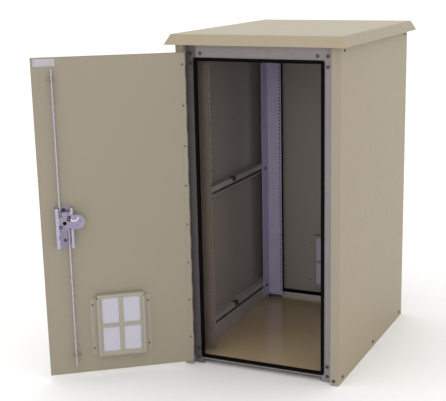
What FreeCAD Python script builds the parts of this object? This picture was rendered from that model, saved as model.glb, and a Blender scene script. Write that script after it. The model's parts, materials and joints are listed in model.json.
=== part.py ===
import FreeCAD, Part
import math
import os

# Outdoor battery cabinet with a front and a rear door. Millimetres, +Z up.
# The origin is the centre of the footprint on the ground, -Y is the front.
# Both doors are drawn closed. The front one is then swung open about its hinge pin.

# ---- driving dimensions ------------------------------------------------------------
BODY_W = 641.0            # over the side panels
BODY_D = 872.0            # over the front and rear flanges of the side panels
BODY_TOP = 1251.5         # top of the frame and side panels
ROOF_Z = 1290.0           # top of the canopy
SKIRT_Z = 1252.0          # lower edge of the canopy's sloping skirt
OVERHANG = 29.5           # skirt beyond the body, all round
SKIRT_INSET = 19.5        # how far the skirt slopes in on its way up
SHEET = 2.5               # body sheet thickness
DOOR_OPEN_DEG = 142.5     # how far the front door stands open

HALF_W = BODY_W / 2
FRONT = -BODY_D / 2       # plane of the side panels' front flanges
RECESS = FRONT + 24.0     # plane that the door frame's face lies in
WALL = HALF_W - SHEET     # inner face of a side panel

HINGE_FLANGE = 35.5       # width of the side panel's front flange on the hinge side
LOCK_FLANGE = 33.0        # and on the lock side
PANEL_BEND = 8.0          # outside bend radius of the side panels

OPEN_X = 246.5            # half width of the door opening
OPEN_Z0 = 36.0            # sheet edges of the front door opening
REAR_OPEN_Z0 = 50.0       # the rear sill stands higher
OPEN_Z1 = 1194.0
FRAME_Z0 = 10.0           # underside of the rear sill, floor pan and base rails
SILL_Z0 = 19.0            # underside of the front sill

SEAL_W = 13.0             # bulb width of the door seal
SEAL_INSIDE = 3.5         # how far the front seal stands inside the sheet edge
REAR_SEAL_INSIDE = 9.0    # the same for the rear seal, which is wider
SEAL_OUTSIDE = SEAL_W - SEAL_INSIDE
SEAL_H = 7.2              # bulb height off the frame, as squeezed by the door

PIN_X = -280.5            # hinge pin axis
PIN_Y = FRONT - 1.0
KNUCKLE_R = 4.5
LEAF_T = 1.5
PIN_R = 2.0
KNUCKLE_PITCH = 50.0

DOOR_X0 = -276.0          # hinge side edge of the door
DOOR_W = 552.0
DOOR_Z0 = 21.5
DOOR_Z1 = 1225.0
DOOR_OUT = FRONT - 2.0    # outer face
DOOR_IN = RECESS - 8.0    # inner face
DOOR_SHEET = 2.0

SPINDLE_U = 467.2         # lock spindle from the hinge side edge of the door
SPINDLE_Z = 622.5
SPINDLE_R = 7.0
CAM_PIN = 14.5            # rod pins off the spindle, across and up or down, unlocked
CAM_H0 = 22.2             # cam plate heights off the door's inner face
CAM_H1 = 25.2
ROD_H = 17.5              # rod axis height off the door's inner face
ROD_R = 4.0
ROD_TOP = 1185.0          # rod tips, unlocked
ROD_BOTTOM = 58.0

FILTER_U = DOOR_W / 2     # filter centre across the door
FILTER_W = 176.0
FILTER_Z0 = 89.0
FILTER_Z1 = 331.0
PANE_W = 65.0
PANE_GAP = 15.0
PANE_ROWS = ((104.0, 202.0), (216.0, 318.0))
CHANNEL_TOP = 316.0

RACK_X = 225.0            # half the clear width between rack rails (19 inch rack)
RACK_SIDE = 291.5         # side face of the rack rails
FRONT_RACK_Y = -345.0
REAR_RACK_Y = 366.0
RACK_Z0 = 43.0
RACK_Z1 = 1192.0
RACK_UNIT = 44.45
RACK_HOLES = (6.35, 22.225, 38.1)
RACK_UNITS = 25
RACK_SHEET = 2.3

FLOOR_TOP = 24.0
MID_RAIL = (630.5, 667.0)
BASE_RAIL = (FRAME_Z0, 120.0)
RAIL_SLOT = 12.0          # height of the slot in the side rails
MID_SLOT_Z = 641.0
BASE_SLOT_Z = 94.0
RAIL_Y = 360.0            # side rails run from -RAIL_Y to RAIL_Y

CLEAR = 0.05              # running clearance on radius of pins in their holes

X_AXIS = FreeCAD.Vector(1, 0, 0)
Y_AXIS = FreeCAD.Vector(0, 1, 0)
Z_AXIS = FreeCAD.Vector(0, 0, 1)


# ---- helpers -----------------------------------------------------------------------
def box(x0, x1, y0, y1, z0, z1):
    corner = FreeCAD.Vector(min(x0, x1), min(y0, y1), min(z0, z1))
    return Part.makeBox(abs(x1 - x0), abs(y1 - y0), abs(z1 - z0), corner)


def rod(axis, radius, length, x, y, z):
    return Part.makeCylinder(radius, length, FreeCAD.Vector(x, y, z), axis)


def fuse(shapes):
    whole = shapes[0].fuse(list(shapes[1:]))
    return whole.removeSplitter()


def mirror_x(shape):
    return shape.mirror(FreeCAD.Vector(0, 0, 0), X_AXIS)


def mirror_y(shape):
    return shape.mirror(FreeCAD.Vector(0, 0, 0), Y_AXIS)


def swing_open(shape):
    """Turns a closed front door piece about the hinge pin to where the door stands."""
    turned = shape.copy()
    turned.rotate(FreeCAD.Vector(PIN_X, PIN_Y, 0), Z_AXIS, -DOOR_OPEN_DEG)
    return turned


def prism_x(points, x0, x1):
    """A flat outline given as (y, z) points, extruded from x0 to x1."""
    corners = [FreeCAD.Vector(x0, y, z) for y, z in points]
    wire = Part.makePolygon(corners + corners[:1])
    return Part.Face(wire).extrude(FreeCAD.Vector(x1 - x0, 0, 0))


def edges_along(shape, axis, test):
    """Straight edges parallel to axis whose middle point passes the test."""
    found = []
    for edge in shape.Edges:
        if edge.Curve.TypeId != "Part::GeomLine":
            continue
        direction = edge.tangentAt(edge.FirstParameter)
        if abs(direction.dot(axis)) > 0.999 and test(edge.CenterOfMass):
            found.append(edge)
    return found


def round_edges(shape, axis, radius, test):
    return shape.makeFillet(radius, edges_along(shape, axis, test))


def rounded_slab(half_x, z0, z1, y0, y1, radius):
    """A slab about x=0 whose four corners seen from the front are rounded."""
    slab = box(-half_x, half_x, y0, y1, z0, z1)
    return round_edges(slab, Y_AXIS, radius, lambda point: True)


def drill_y(shape, places, radius, y0, y1):
    """Cuts round holes along Y at (x, z) places."""
    drills = [rod(Y_AXIS, radius, y1 - y0, x, y0, z) for x, z in places]
    return shape.cut(drills)


def save(shape, name):
    shape.exportStep("parts/" + name + ".step")


# ---- roof --------------------------------------------------------------------------
def frustum(half_x, half_y, inset, z0, z1):
    """A block whose four sides slope in by inset on the way up from z0 to z1."""
    loops = []
    for grow, z in ((0.0, z0), (-inset, z1)):
        x = half_x + grow
        y = half_y + grow
        corners = [(-x, -y), (x, -y), (x, y), (-x, y), (-x, -y)]
        loops.append(Part.makePolygon([FreeCAD.Vector(a, b, z) for a, b in corners]))
    return Part.makeLoft(loops, True, True)


def roof_canopy():
    half_x = HALF_W + OVERHANG
    half_y = -FRONT + OVERHANG
    rise = ROOF_Z - SKIRT_Z
    slope = SKIRT_INSET / rise
    outside = frustum(half_x, half_y, SKIRT_INSET, SKIRT_Z, ROOF_Z)
    floor_z = CAP_TOP + DOOR_SHEET
    inset_here = slope * (floor_z - SKIRT_Z) + SHEET
    top_z = ROOF_Z - SHEET
    hollow = frustum(half_x - inset_here, half_y - inset_here,
                     slope * (top_z - floor_z), floor_z, top_z)
    hole = box(-HALF_W + 20, HALF_W - 20, FRONT + 20, -FRONT - 20, SKIRT_Z - 1, floor_z + 1)
    under = half_x - SHEET
    drip = box(-under, under, -(half_y - SHEET), half_y - SHEET, SKIRT_Z - 1, CAP_TOP)
    return outside.cut([hollow, hole, drip])


CAP_TOP = BODY_TOP + SHEET
CAP_FLANGE_Y = 355.0      # half length of the top panel's side flanges
CAP_FLANGE_H = 26.0


def top_panel():
    """The flat top of the body under the canopy. Its side flanges turn down inside the side
    panels, between the uprights."""
    half_x = HALF_W - 1
    half_y = -FRONT - 1
    sheet = box(-half_x, half_x, -half_y, half_y, BODY_TOP, CAP_TOP)
    sheet = round_edges(sheet, Z_AXIS, PANEL_BEND - 1, lambda point: True)
    flanges = []
    for side in (-1, 1):
        flanges.append(box(side * WALL, side * (WALL - SHEET), -CAP_FLANGE_Y, CAP_FLANGE_Y,
                           BODY_TOP - CAP_FLANGE_H, BODY_TOP))
    return fuse([sheet] + flanges)


# ---- body shell and frame ------------------------------------------------------------
PANEL_SCREWS = (-388.0, 0.0, 388.0)
PANEL_SCREW_Z = 22.0
STRIP_SCREW_X = 302.0
STRIP_SCREW_Z = 19.5
CORNER_SCREW_Y = 390.0    # small screws at the top corners of the side panels
CORNER_SCREW_Z = 1237.5


def side_panel(flange):
    """The left side panel: one sheet bent round the front and rear corners, with returns
    that run back to the door frames."""
    outer = box(-HALF_W, -HALF_W + flange, FRONT, -FRONT, 0, BODY_TOP)
    outer = round_edges(outer, Z_AXIS, PANEL_BEND, lambda point: point.x < -HALF_W + 1)
    outer = round_edges(outer, Z_AXIS, SHEET, lambda point: point.x > -HALF_W + flange - 1)
    inner = box(-WALL, -HALF_W + flange - SHEET, FRONT + SHEET, -FRONT - SHEET, -1, BODY_TOP + 1)
    inner = round_edges(inner, Z_AXIS, PANEL_BEND - SHEET, lambda point: point.x < -WALL + 1)
    open_side = box(-HALF_W + flange - SHEET - 1, -HALF_W + flange + 1,
                    RECESS, -RECESS, -1, BODY_TOP + 1)
    panel = outer.cut([inner, open_side])
    holes = side_screw_holes()
    for y in (FRONT - 1, -FRONT - 9):
        holes.append(rod(Y_AXIS, SCREW_R + CLEAR, 10, -STRIP_SCREW_X, y, STRIP_SCREW_Z))
    return panel.cut(holes)


SCREW_R = 3.0
SCREW_HEAD_R = 6.5
SCREW_HEAD_H = 3.0
SMALL_HEAD_R = 4.2


def side_screw_places():
    """(y, z) of every screw through a side panel."""
    places = [(y, PANEL_SCREW_Z) for y in PANEL_SCREWS]
    for y in (-CORNER_SCREW_Y, CORNER_SCREW_Y):
        places.append((y, CORNER_SCREW_Z))
    return places


def side_screw_holes():
    """Clearance holes through the left side panel and whatever lies behind it."""
    return [rod(X_AXIS, SCREW_R + CLEAR, 20, -HALF_W - 5, y, z) for y, z in side_screw_places()]


def button_head(axis, radius, height, x, y, z):
    """A low round head whose base sits at the point and whose crown faces along axis."""
    head = rod(axis, radius, height, x, y, z)
    crown = [edge for edge in head.Edges
             if edge.Curve.TypeId == "Part::GeomCircle"
             and (edge.CenterOfMass - FreeCAD.Vector(x, y, z)).dot(axis) > height / 2]
    head = head.makeFillet(height * 0.6, crown)
    socket = rod(axis, radius * 0.38, height, x, y, z)
    socket.translate(axis * (height * 0.5))
    return head.cut(socket)


def screw(axis, x, y, z, grip, head_r=SCREW_HEAD_R):
    """A button head screw whose head bears at the point and whose shank runs against axis."""
    head = button_head(axis, head_r, SCREW_HEAD_H, x, y, z)
    shank = rod(axis * -1, SCREW_R, grip, x, y, z)
    return fuse([head, shank])


def panel_screws():
    solids = []
    for y, z in side_screw_places():
        head_r = SMALL_HEAD_R if z == CORNER_SCREW_Z else SCREW_HEAD_R
        solids.append(screw(X_AXIS, HALF_W, y, z, SHEET + 4, head_r))
        solids.append(screw(X_AXIS * -1, -HALF_W, y, z, SHEET + 4, head_r))
    for x in (-STRIP_SCREW_X, STRIP_SCREW_X):
        solids.append(screw(Y_AXIS * -1, x, FRONT, STRIP_SCREW_Z, SHEET + 4))
        solids.append(screw(Y_AXIS, x, -FRONT, STRIP_SCREW_Z, SHEET + 4))
    return Part.makeCompound(solids)


GUSSET_T = 3.0
UPRIGHT_LEG = 50.0
FRAME_BACK = RECESS + SHEET
CORNER_X = 267.5          # corner screws of the door frame
CORNER_Z = ((24.0, 62.0), (1218.0, 1180.5))
RAIL_SCREW_X = 229.0      # screw that holds the header to its gusset


def frame_screw_places():
    """(x, z) of the screws through the door frame's face, both sides."""
    places = []
    for near, far in CORNER_Z:
        for side in (-1, 1):
            places.append((side * CORNER_X, near))
            places.append((side * CORNER_X, far))
    for side in (-1, 1):
        places.append((side * RAIL_SCREW_X, CORNER_Z[1][0]))
    return places


def upright():
    """The left front upright of the frame, an angle."""
    face = box(-WALL, -OPEN_X, RECESS, FRAME_BACK, 0, BODY_TOP)
    leg = box(-WALL, -WALL + SHEET, FRAME_BACK, RECESS + UPRIGHT_LEG, 0, BODY_TOP)
    whole = fuse([face, leg])
    whole = drill_y(whole, frame_screw_places(), SCREW_R + CLEAR, RECESS - 1, FRAME_BACK + 1)
    return whole.cut(side_screw_holes())


def header():
    face = box(-OPEN_X, OPEN_X, RECESS, FRAME_BACK, OPEN_Z1, BODY_TOP)
    leg = box(-OPEN_X, OPEN_X, FRAME_BACK, RECESS + 40, BODY_TOP - SHEET, BODY_TOP)
    whole = fuse([face, leg])
    return drill_y(whole, frame_screw_places(), SCREW_R + CLEAR, RECESS - 1, FRAME_BACK + 1)


def sill(z0, z1):
    face = box(-OPEN_X, OPEN_X, RECESS, FRAME_BACK, z0, z1)
    leg = box(-OPEN_X, OPEN_X, FRAME_BACK, RECESS + 29, z0, z0 + SHEET)
    return fuse([face, leg])


def top_gusset():
    """The angle plate behind the top left corner of the front frame."""
    y0 = FRAME_BACK
    y1 = FRAME_BACK + GUSSET_T
    down = box(-WALL + SHEET, -OPEN_X - 8, y0, y1, 1162, 1246)
    across = box(-WALL + SHEET, -RAIL_SCREW_X + 10, y0, y1, 1203, 1246)
    plate = fuse([down, across])
    return drill_y(plate, frame_screw_places(), SCREW_R + CLEAR, y0 - 1, y1 + 1)


def bottom_gusset():
    """The flat plate behind the bottom left corner of the front frame."""
    y0 = FRAME_BACK
    y1 = FRAME_BACK + GUSSET_T
    plate = box(-WALL + SHEET, -OPEN_X - 8, y0, y1, 12, 78)
    return drill_y(plate, frame_screw_places(), SCREW_R + CLEAR, y0 - 1, y1 + 1)


def corner_gussets():
    solids = []
    for piece in (top_gusset(), bottom_gusset()):
        for shape in (piece, mirror_x(piece)):
            solids.append(shape)
            solids.append(mirror_y(shape))
    return Part.makeCompound(solids)


def frame_screws():
    solids = []
    for x, z in frame_screw_places():
        front = screw(Y_AXIS * -1, x, RECESS, z, SHEET + GUSSET_T + 1)
        solids.append(front)
        solids.append(mirror_y(front))
    return Part.makeCompound(solids)


def door_seal(open_z0, inside):
    """Edge trim round the door opening: a bulb outside the frame's face, a web inside the
    sheet edge and a lip behind it."""
    inner_x = OPEN_X - inside
    inner_z0 = open_z0 + inside
    inner_z1 = OPEN_Z1 - inside
    front_y = RECESS - SEAL_H
    back_y = FRAME_BACK + 1.5
    bulb = rounded_slab(OPEN_X + SEAL_OUTSIDE, open_z0 - SEAL_OUTSIDE, OPEN_Z1 + SEAL_OUTSIDE,
                        front_y, RECESS, 9)
    bulb = bulb.cut(rounded_slab(inner_x, inner_z0, inner_z1, front_y - 1, RECESS + 1, 2))
    rim = [edge for edge in bulb.Edges
           if abs(edge.BoundBox.YMin - front_y) < 0.01 and abs(edge.BoundBox.YMax - front_y) < 0.01]
    bulb = bulb.makeFillet(3.2, rim[:])
    hole = rounded_slab(inner_x, inner_z0, inner_z1, RECESS - 1, back_y + 1, 2)
    web = box(-OPEN_X, OPEN_X, RECESS, back_y, open_z0, OPEN_Z1).cut(hole)
    lip = box(-OPEN_X - 5.5, OPEN_X + 5.5, FRAME_BACK, back_y, open_z0 - 5.5, OPEN_Z1 + 5.5)
    return fuse([bulb, web, lip.cut(hole)])


# ---- inside --------------------------------------------------------------------------
def side_rail(heights, slot_z):
    """A slotted channel along the left wall, its slot facing inwards."""
    z0, z1 = heights
    outer = -WALL
    inner = -RACK_SIDE
    body = box(outer, inner, -RAIL_Y, RAIL_Y, z0, z1)
    hollow = box(outer + SHEET, inner - SHEET, -RAIL_Y - 1, RAIL_Y + 1, z0 + SHEET, z1 - SHEET)
    slot = box(inner - SHEET - 1, inner + 1, -RAIL_Y - 1, RAIL_Y + 1,
               slot_z - RAIL_SLOT / 2, slot_z + RAIL_SLOT / 2)
    return body.cut([hollow, slot] + side_screw_holes())


CLAMP_W = 30.0


def rail_clamps():
    """Tabs that hook over the side rails half way along, each made with its bolt."""
    solids = []
    for heights in (MID_RAIL, BASE_RAIL):
        top = heights[1]
        inner = -RACK_SIDE
        tab = box(inner, inner + SHEET, -CLAMP_W / 2, CLAMP_W / 2, top - 14, top + SHEET)
        over = box(inner - 16, inner, -CLAMP_W / 2, CLAMP_W / 2, top, top + SHEET)
        head = hex_prism(X_AXIS, 6.5, 5, inner + SHEET, 0, top - 6)
        clamp = fuse([tab, over, head])
        solids.append(clamp)
        solids.append(mirror_x(clamp))
    return solids


def hex_prism(axis, across, height, x, y, z):
    """A hexagon of the given half width across flats, standing on the point along axis."""
    if abs(axis.z) > 0.5:
        side = X_AXIS
    else:
        side = Z_AXIS
    other = axis.cross(side)
    corners = []
    radius = across / math.cos(math.pi / 6)
    for k in range(6):
        angle = math.radians(60 * k)
        offset = side * (radius * math.cos(angle)) + other * (radius * math.sin(angle))
        corners.append(FreeCAD.Vector(x, y, z) + offset)
    face = Part.Face(Part.makePolygon(corners + corners[:1]))
    return face.extrude(axis * height)


def rack_rail(face_y, toward):
    """The left rack rail: a punched face at face_y and a side flange that runs from it
    in the direction toward (+1 rearwards, -1 forwards)."""
    depth = 60.0 if toward > 0 else 67.0
    face = box(-RACK_SIDE, -RACK_X, face_y, face_y + toward * RACK_SHEET, RACK_Z0, RACK_Z1)
    flange = box(-RACK_SIDE, -RACK_SIDE + RACK_SHEET, face_y, face_y + toward * depth,
                 RACK_Z0, RACK_Z1)
    rail = fuse([face, flange])
    first = RACK_Z0 + (RACK_Z1 - RACK_Z0 - RACK_UNITS * RACK_UNIT) / 2
    places = []
    for unit in range(RACK_UNITS):
        for hole in RACK_HOLES:
            places.append((-RACK_X - 7.5, first + unit * RACK_UNIT + hole))
    rail = drill_y(rail, places, 3.5, face_y - 5, face_y + 5)
    bolt_y = face_y + toward * 34
    holes = []
    for z in (MID_SLOT_Z, BASE_SLOT_Z):
        holes.append(rod(X_AXIS, SCREW_R + CLEAR, 10, -RACK_SIDE - 5, bolt_y, z))
    return rail.cut(holes)


def rack_bolts():
    """Bolts through the rack rails' side flanges into the side rails' slots."""
    solids = []
    for face_y, toward in ((FRONT_RACK_Y, 1), (REAR_RACK_Y, -1)):
        bolt_y = face_y + toward * 34
        for z in (MID_SLOT_Z, BASE_SLOT_Z):
            seat = -RACK_SIDE + RACK_SHEET
            head = hex_prism(X_AXIS, 5.5, 4, seat, bolt_y, z)
            shank = rod(X_AXIS * -1, SCREW_R, 10, seat, bolt_y, z)
            bolt = fuse([head, shank])
            solids.append(bolt)
            solids.append(mirror_x(bolt))
    return solids


def floor_pan():
    half_x = RACK_SIDE
    half_y = -RECESS - 30
    outside = box(-half_x, half_x, -half_y, half_y, FRAME_Z0, FLOOR_TOP)
    inside = box(-half_x + SHEET, half_x - SHEET, -half_y + SHEET, half_y - SHEET,
                 FRAME_Z0 - 1, FLOOR_TOP - SHEET)
    return outside.cut(inside)


CHANNEL_YS = (-250.0, 0.0, 250.0)
CHANNEL_W = 60.0


def floor_channels():
    """Three channels across the cabinet that carry the floor and stand on the ground."""
    half_x = RACK_SIDE - SHEET - 1
    top = FLOOR_TOP - SHEET
    solids = []
    for y in CHANNEL_YS:
        y0 = y - CHANNEL_W / 2
        y1 = y + CHANNEL_W / 2
        outside = box(-half_x, half_x, y0, y1, 0, top)
        inside = box(-half_x - 1, half_x + 1, y0 + SHEET, y1 - SHEET, SHEET, top + 1)
        solids.append(outside.cut(inside))
    return Part.makeCompound(solids)


# ---- hinge -----------------------------------------------------------------------------
HINGE_Z0 = 30.0
HINGE_KNUCKLES = 24
KNUCKLE_GAP = 0.5
RIVET_FIRST = 124.5
RIVET_PITCH = 151.0
RIVET_COUNT = 8
RIVET_U = 8.0
RIVET_R = 1.6
RIVET_HEAD_R = 3.4


def knuckle_spans(first):
    """(z0, z1) of every other knuckle, from the first or the second one up."""
    spans = []
    for k in range(first, HINGE_KNUCKLES, 2):
        z0 = HINGE_Z0 + k * KNUCKLE_PITCH + KNUCKLE_GAP / 2
        spans.append((z0, z0 + KNUCKLE_PITCH - KNUCKLE_GAP))
    return spans


def knuckles(first):
    return [rod(Z_AXIS, KNUCKLE_R, z1 - z0, PIN_X, PIN_Y, z0) for z0, z1 in knuckle_spans(first)]


def hinge_bore():
    return rod(Z_AXIS, PIN_R + CLEAR, 1400, PIN_X, PIN_Y, 0)


def hinge_frame_leaf():
    """The fixed leaf: a strip on the flange's side face and half of the knuckles."""
    x0 = PIN_X - KNUCKLE_R
    x1 = x0 + LEAF_T
    top = HINGE_Z0 + HINGE_KNUCKLES * KNUCKLE_PITCH
    near = PIN_Y + KNUCKLE_R + KNUCKLE_GAP
    pieces = [box(x0, x1, near, RECESS - 1.5, HINGE_Z0, top - 4)]
    for z0, z1 in knuckle_spans(0):
        pieces.append(box(x0, x1, PIN_Y, near, z0, z1))
    return fuse(pieces + knuckles(0)).cut(hinge_bore())


def rivet_places():
    return [(DOOR_X0 + RIVET_U, RIVET_FIRST + k * RIVET_PITCH) for k in range(RIVET_COUNT)]


def hinge_door_leaf():
    """The door's leaf wraps round the door edge on to its inner face, where it is riveted."""
    x1 = PIN_X + KNUCKLE_R
    x0 = x1 - LEAF_T
    top = HINGE_Z0 + HINGE_KNUCKLES * KNUCKLE_PITCH
    near = PIN_Y + KNUCKLE_R + KNUCKLE_GAP
    back = DOOR_IN + LEAF_T
    pieces = [box(x0, x1, near, back, HINGE_Z0, top - 6)]
    pieces.append(box(x0, DOOR_X0 + 14, DOOR_IN, back, HINGE_Z0, top - 6))
    for z0, z1 in knuckle_spans(1):
        pieces.append(box(x0, x1, PIN_Y, near, z0, min(z1, top - 6)))
    leaf = fuse(pieces + knuckles(1)).cut(hinge_bore())
    return drill_y(leaf, rivet_places(), RIVET_R + CLEAR, DOOR_IN - 1, back + 1)


def hinge_pins():
    length = HINGE_KNUCKLES * KNUCKLE_PITCH
    pin = rod(Z_AXIS, PIN_R, length, PIN_X, PIN_Y, HINGE_Z0)
    return Part.makeCompound([pin, mirror_y(pin)])


# ---- door panel ---------------------------------------------------------------------
LIP_W = 14.0
LINER_EDGE = 2.5
LOUVRES = 10
LOUVRE_W = 150.0
LOUVRE_FIRST = 106.0
LOUVRE_PITCH = 22.0
LOUVRE_H = 9.0
LOUVRE_OUT = 8.0


def door_u(u):
    return DOOR_X0 + u


def spindle_hole(radius=SPINDLE_R + CLEAR):
    return rod(Y_AXIS, radius, 80, door_u(SPINDLE_U), DOOR_OUT - 30, SPINDLE_Z)


def louvre_hood(z):
    """One pressed louvre: a hood that leans out over its slot and is open below."""
    x0 = door_u(FILTER_U - LOUVRE_W / 2)
    x1 = door_u(FILTER_U + LOUVRE_W / 2)
    outer = prism_x([(DOOR_OUT, z + LOUVRE_H + 4), (DOOR_OUT - LOUVRE_OUT, z),
                     (DOOR_OUT, z)], x0, x1)
    inner = prism_x([(DOOR_OUT + 0.5, z + LOUVRE_H + 1.2), (DOOR_OUT - LOUVRE_OUT + 2.2, z - 0.5),
                     (DOOR_OUT + 0.5, z - 0.5)], x0 + DOOR_SHEET, x1 - DOOR_SHEET)
    return outer.cut(inner)


def louvre_slot(z):
    x0 = door_u(FILTER_U - LOUVRE_W / 2) + DOOR_SHEET
    x1 = door_u(FILTER_U + LOUVRE_W / 2) - DOOR_SHEET
    return box(x0, x1, DOOR_OUT - 1, DOOR_OUT + DOOR_SHEET + 1, z, z + LOUVRE_H)


def door_skin():
    """The outer pan of the door, with returned edges, inward lips and a louvred vent."""
    x0 = DOOR_X0
    x1 = door_u(DOOR_W)
    lip_y = DOOR_IN - DOOR_SHEET
    pan = box(x0, x1, DOOR_OUT, lip_y, DOOR_Z0, DOOR_Z1)
    pan = round_edges(pan, Z_AXIS, 3, lambda point: point.y < DOOR_OUT + 1)
    pan = round_edges(pan, X_AXIS, 2, lambda point: point.y < DOOR_OUT + 1)
    hollow = box(x0 + DOOR_SHEET, x1 - DOOR_SHEET, DOOR_OUT + DOOR_SHEET, lip_y - DOOR_SHEET,
                 DOOR_Z0 + DOOR_SHEET, DOOR_Z1 - DOOR_SHEET)
    window = box(x0 + LIP_W, x1 - LIP_W, lip_y - DOOR_SHEET - 1, lip_y + 1,
                 DOOR_Z0 + LIP_W, DOOR_Z1 - LIP_W)
    heights = [LOUVRE_FIRST + k * LOUVRE_PITCH for k in range(LOUVRES)]
    pan = pan.cut([hollow, window] + [louvre_slot(z) for z in heights])
    pan = fuse([pan] + [louvre_hood(z) for z in heights])
    pan = drill_y(pan, rivet_places(), RIVET_R + CLEAR, lip_y - DOOR_SHEET - 1, lip_y + 1)
    return pan.cut(spindle_hole())


def pane_columns():
    """(u0, u1) of the two columns of panes across the door."""
    left = FILTER_U - PANE_GAP / 2 - PANE_W
    right = FILTER_U + PANE_GAP / 2
    return ((left, left + PANE_W), (right, right + PANE_W))


def pane_cutters(y0, y1):
    cutters = []
    for u0, u1 in pane_columns():
        for z0, z1 in PANE_ROWS:
            cutters.append(box(door_u(u0), door_u(u1), y0, y1, z0, z1))
    return cutters


def door_liner():
    """The flat inner sheet of the door, with four air windows behind the filter."""
    sheet = box(DOOR_X0 + LINER_EDGE, door_u(DOOR_W) - LINER_EDGE, DOOR_IN - DOOR_SHEET, DOOR_IN,
                DOOR_Z0 + LINER_EDGE, DOOR_Z1 - LINER_EDGE)
    sheet = sheet.cut(pane_cutters(DOOR_IN - 5, DOOR_IN + 5) + [spindle_hole()])
    holes = rivet_places()
    return drill_y(sheet, holes, RIVET_R + CLEAR, DOOR_IN - 5, DOOR_IN + 1)


def label_plate():
    """A blank plate in the door's top corner."""
    return box(door_u(467), door_u(543.5), DOOR_IN, DOOR_IN + 0.5, 1193.5, 1220.5)


# ---- filter -----------------------------------------------------------------------------
CHANNEL_T = 2.0
CHANNEL_LIP_H = 22.0
TRAY_H0 = 2.5
TRAY_H1 = 21.0
CHANNEL_FOOT_W = 26.0
FILTER_SCREW_U = 106.0
FILTER_SCREW_Z = (117.0, 291.0)


def inward(h):
    """Y of a height h off the door's inner face."""
    return DOOR_IN + h


def filter_channels():
    """Two side channels that hold the filter tray, and the ledge that it stands on."""
    half = FILTER_W / 2 + 1
    solids = []
    for side in (-1, 1):
        wall = FILTER_U + side * half
        z0 = FILTER_Z0 - 0.3
        web = box(door_u(wall), door_u(wall + side * CHANNEL_T), inward(0),
                  inward(CHANNEL_LIP_H + CHANNEL_T), z0, CHANNEL_TOP)
        lip = box(door_u(wall - side * 9), door_u(wall + side * CHANNEL_T), inward(CHANNEL_LIP_H),
                  inward(CHANNEL_LIP_H + CHANNEL_T), z0, CHANNEL_TOP)
        foot = box(door_u(wall), door_u(wall + side * CHANNEL_FOOT_W), inward(0),
                   inward(CHANNEL_T), z0, CHANNEL_TOP)
        channel = fuse([web, lip, foot])
        places = [(door_u(FILTER_U + side * FILTER_SCREW_U), z) for z in FILTER_SCREW_Z]
        solids.append(drill_y(channel, places, RIVET_R + CLEAR, DOOR_IN - 1, DOOR_IN + 4))
    ledge = box(door_u(FILTER_U - half), door_u(FILTER_U + half), inward(0), inward(TRAY_H1),
                FILTER_Z0 - 2.3, FILTER_Z0 - 0.3)
    apron = box(door_u(FILTER_U - half), door_u(FILTER_U + half), inward(0), inward(CHANNEL_T),
                FILTER_Z0 - 12, FILTER_Z0 - 0.3)
    solids.append(fuse([ledge, apron]))
    return Part.makeCompound(solids)


def filter_frame():
    """The sliding tray: four walls and a face with four panes."""
    x0 = door_u(FILTER_U - FILTER_W / 2)
    x1 = door_u(FILTER_U + FILTER_W / 2)
    tray = box(x0, x1, inward(TRAY_H0), inward(TRAY_H1), FILTER_Z0, FILTER_Z1)
    hollow = box(x0 + 2, x1 - 2, inward(TRAY_H0) - 1, inward(TRAY_H1 - 1.5),
                 FILTER_Z0 + 2, FILTER_Z1 - 2)
    return tray.cut([hollow] + pane_cutters(inward(TRAY_H0) - 2, inward(TRAY_H1) + 1))


def filter_media():
    x0 = door_u(FILTER_U - FILTER_W / 2)
    x1 = door_u(FILTER_U + FILTER_W / 2)
    return box(x0 + 2, x1 - 2, inward(TRAY_H0 + 1.5), inward(TRAY_H1 - 1.5),
               FILTER_Z0 + 2, FILTER_Z1 - 2)


# ---- lock ----------------------------------------------------------------------------
HOUSING_Z0 = 527.0
HOUSING_Z1 = 680.0
HOUSING_T = 2.0
HOUSING_H = 29.0
HOUSING_U = (436.0, 499.5)
LIP_FROM = (444.5, 487.5)  # free edges of the housing's two lips
LOCK_NUTS = (552.0, 670.0)


STRAP_U = 477.0           # the strap reaches from the hinge-side lip to here
STRAP_Z = (651.0, 665.0)
NOTCH_Z = (563.0, 579.0)  # cut in the other lip's edge
HOUSING_HOLE_R = 3.5
HOUSING_HOLES = ((SPINDLE_U + 13.5, 539.0), (SPINDLE_U + 1.0, 534.5), (451.5, 659.5))


def lock_housing():
    """A lipped channel that the cam and the rods run in, with a strap off one lip."""
    left, right = HOUSING_U
    lip_h = inward(HOUSING_H - HOUSING_T)
    top_h = inward(HOUSING_H)
    z0 = HOUSING_Z0
    z1 = HOUSING_Z1
    pieces = [
        box(door_u(left), door_u(right), inward(0), inward(HOUSING_T), z0, z1),
        box(door_u(left), door_u(left + HOUSING_T), inward(0), top_h, z0, z1),
        box(door_u(right - HOUSING_T), door_u(right), inward(0), top_h, z0, z1),
        box(door_u(left), door_u(LIP_FROM[0]), lip_h, top_h, z0, z1),
        box(door_u(LIP_FROM[1]), door_u(right), lip_h, top_h, z0, z1),
        box(door_u(left), door_u(STRAP_U), lip_h, top_h, *STRAP_Z),
    ]
    whole = fuse(pieces)
    notch = box(door_u(LIP_FROM[1] - 5), door_u(LIP_FROM[1] + 4), lip_h - 1, top_h + 1, *NOTCH_Z)
    notch = round_edges(notch, Y_AXIS, 3.9, lambda point: True)
    holes = [rod(Y_AXIS, HOUSING_HOLE_R, 50, door_u(u), DOOR_IN + 0.1, z) for u, z in HOUSING_HOLES]
    bolts = [rod(Y_AXIS, SCREW_R + CLEAR, 10, door_u(SPINDLE_U), DOOR_IN - 5, z)
             for z in LOCK_NUTS]
    return whole.cut([notch, spindle_hole()] + holes + bolts)


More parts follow.
